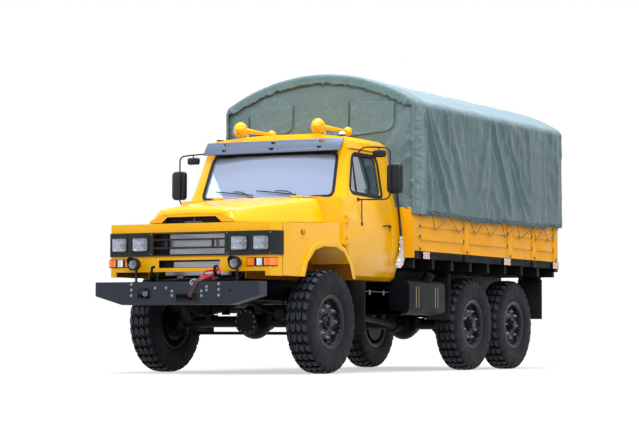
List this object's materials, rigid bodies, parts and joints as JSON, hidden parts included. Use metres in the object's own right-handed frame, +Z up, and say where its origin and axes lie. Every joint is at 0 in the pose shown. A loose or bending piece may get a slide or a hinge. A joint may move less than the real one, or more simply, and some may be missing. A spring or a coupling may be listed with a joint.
{
  "type": "military cargo truck",
  "caption": "Bonneted off-road cargo truck with driven axles, a winch bumper, a hollow cab with opening doors and bonnet, and a canvas-covered drop-tail load bed.",
  "frame": {"origin": "on the ground, at the middle of the outline seen from above", "axes": "+Z up, front of the truck towards -Y, its left side towards +X"},
  "size_m": [3.02, 7.555, 3.48],
  "materials": {
    "yellow_paint": "gloss",
    "black_paint": "satin",
    "slate_paint": "satin",
    "bare_steel": "dull",
    "cooler_core": "satin",
    "engine_iron": "rough",
    "tyre_rubber": "matt",
    "clear_glass": "clear",
    "lamp_glass": "clear",
    "amber_lens": "gloss",
    "black_plastic": "matt",
    "seat_cloth": "woven",
    "green_canvas": "waxed weave",
    "bow_steel": "satin"
  },
  "bodies": {
    "chassis": {"chassis_frame": "black_paint", "bumper": "slate_paint", "winch": "black_paint", "engine": "engine_iron", "radiator": "cooler_core", "driveline": "engine_iron", "front_axle": "black_paint", "middle_axle": "black_paint", "rear_axle": "black_paint", "leaf_springs": "black_paint", "nose_panel": "yellow_paint", "grille": "black_plastic", "lamps": "lamp_glass", "signal_lamps": "amber_lens", "wings": "yellow_paint", "cab_floor": "yellow_paint", "cab_front": "yellow_paint", "cab_rear_wall": "yellow_paint", "cab_roof": "yellow_paint", "cab_glass": "clear_glass", "seats": "seat_cloth", "dashboard": "black_plastic", "sun_visor": "slate_paint", "air_horns": "yellow_paint", "bed_floor": "yellow_paint", "bed_front_wall": "yellow_paint", "side_boards": "yellow_paint", "canvas_cover": "green_canvas", "canvas_bows": "bow_steel", "fuel_tank": "black_paint", "equipment_boxes": "black_paint", "mudguards": "black_paint", "breather_pipe": "black_paint", "exhaust": "bare_steel", "cross_members": "black_paint", "bed_beams": "yellow_paint"},
    "left_front_wheel": {"left_front_wheel": "black_paint", "left_front_tyre": "tyre_rubber"},
    "left_middle_wheel": {"left_middle_wheel": "black_paint", "left_middle_tyre": "tyre_rubber"},
    "left_rear_wheel": {"left_rear_wheel": "black_paint", "left_rear_tyre": "tyre_rubber"},
    "left_steering": {"left_knuckle": "black_paint"},
    "left_door": {"left_door": "yellow_paint", "left_door_glass": "clear_glass", "left_mirror": "black_paint"},
    "right_front_wheel": {"right_front_wheel": "black_paint", "right_front_tyre": "tyre_rubber"},
    "right_middle_wheel": {"right_middle_wheel": "black_paint", "right_middle_tyre": "tyre_rubber"},
    "right_rear_wheel": {"right_rear_wheel": "black_paint", "right_rear_tyre": "tyre_rubber"},
    "right_steering": {"right_knuckle": "black_paint"},
    "right_door": {"right_door": "yellow_paint", "right_door_glass": "clear_glass", "right_mirror": "black_paint"},
    "tie_rod": {"tie_rod": "black_paint"},
    "bonnet": {"bonnet": "yellow_paint"},
    "tailgate": {"tailgate": "yellow_paint"},
    "steering_wheel": {"steering_wheel": "black_plastic"}
  },
  "joints": [
    {"name": "left_steer", "type": "hinge", "parent": "chassis", "child": "left_steering", "pos_m": [0.8, -2.3955, 0.561], "axis": [0, 0, 1], "range_deg": [-30, 30]},
    {"name": "right_steer", "type": "hinge", "parent": "chassis", "child": "right_steering", "pos_m": [-0.8, -2.3955, 0.561], "axis": [0, 0, 1], "range_deg": [-30, 30]},
    {"name": "left_front_spin", "type": "hinge", "parent": "left_steering", "child": "left_front_wheel", "pos_m": [0.99, -2.3955, 0.561], "axis": [1, 0, 0], "continuous": true},
    {"name": "left_middle_spin", "type": "hinge", "parent": "chassis", "child": "left_middle_wheel", "pos_m": [0.99, 1.2545, 0.561], "axis": [1, 0, 0], "continuous": true},
    {"name": "left_rear_spin", "type": "hinge", "parent": "chassis", "child": "left_rear_wheel", "pos_m": [0.99, 2.5045, 0.561], "axis": [1, 0, 0], "continuous": true},
    {"name": "right_front_spin", "type": "hinge", "parent": "right_steering", "child": "right_front_wheel", "pos_m": [-0.99, -2.3955, 0.561], "axis": [1, 0, 0], "continuous": true},
    {"name": "right_middle_spin", "type": "hinge", "parent": "chassis", "child": "right_middle_wheel", "pos_m": [-0.99, 1.2545, 0.561], "axis": [1, 0, 0], "continuous": true},
    {"name": "right_rear_spin", "type": "hinge", "parent": "chassis", "child": "right_rear_wheel", "pos_m": [-0.99, 2.5045, 0.561], "axis": [1, 0, 0], "continuous": true},
    {"name": "tie_rod_shift", "type": "slide", "parent": "chassis", "child": "tie_rod", "axis": [1, 0, 0], "range_m": [-0.12, 0.12]},
    {"name": "steering_wheel_turn", "type": "hinge", "parent": "chassis", "child": "steering_wheel", "pos_m": [0.445, -1.4555, 1.8], "axis": [0, 0.6428, 0.766], "range_deg": [-540, 540]},
    {"name": "left_door_hinge", "type": "hinge", "parent": "chassis", "child": "left_door", "pos_m": [1.092, -1.969, 1.6], "axis": [0, 0, -1], "range_deg": [0, 68]},
    {"name": "right_door_hinge", "type": "hinge", "parent": "chassis", "child": "right_door", "pos_m": [-1.092, -1.969, 1.6], "axis": [0, 0, 1], "range_deg": [0, 68]},
    {"name": "bonnet_hinge", "type": "hinge", "parent": "chassis", "child": "bonnet", "pos_m": [0, -2.0905, 1.947], "axis": [-1, 0, 0], "range_deg": [0, 48]},
    {"name": "tailgate_hinge", "type": "hinge", "parent": "chassis", "child": "tailgate", "pos_m": [0, 3.7085, 1.37], "axis": [-1, 0, 0], "range_deg": [0, 90]}
  ],
  "couplings": [
    {"joint": "right_steer", "follows": "left_steer", "ratio": 1},
    {"joint": "tie_rod_shift", "follows": "left_steer", "m_per_rad": -0.21},
    {"joint": "steering_wheel_turn", "follows": "left_steer", "ratio": 18}
  ]
}
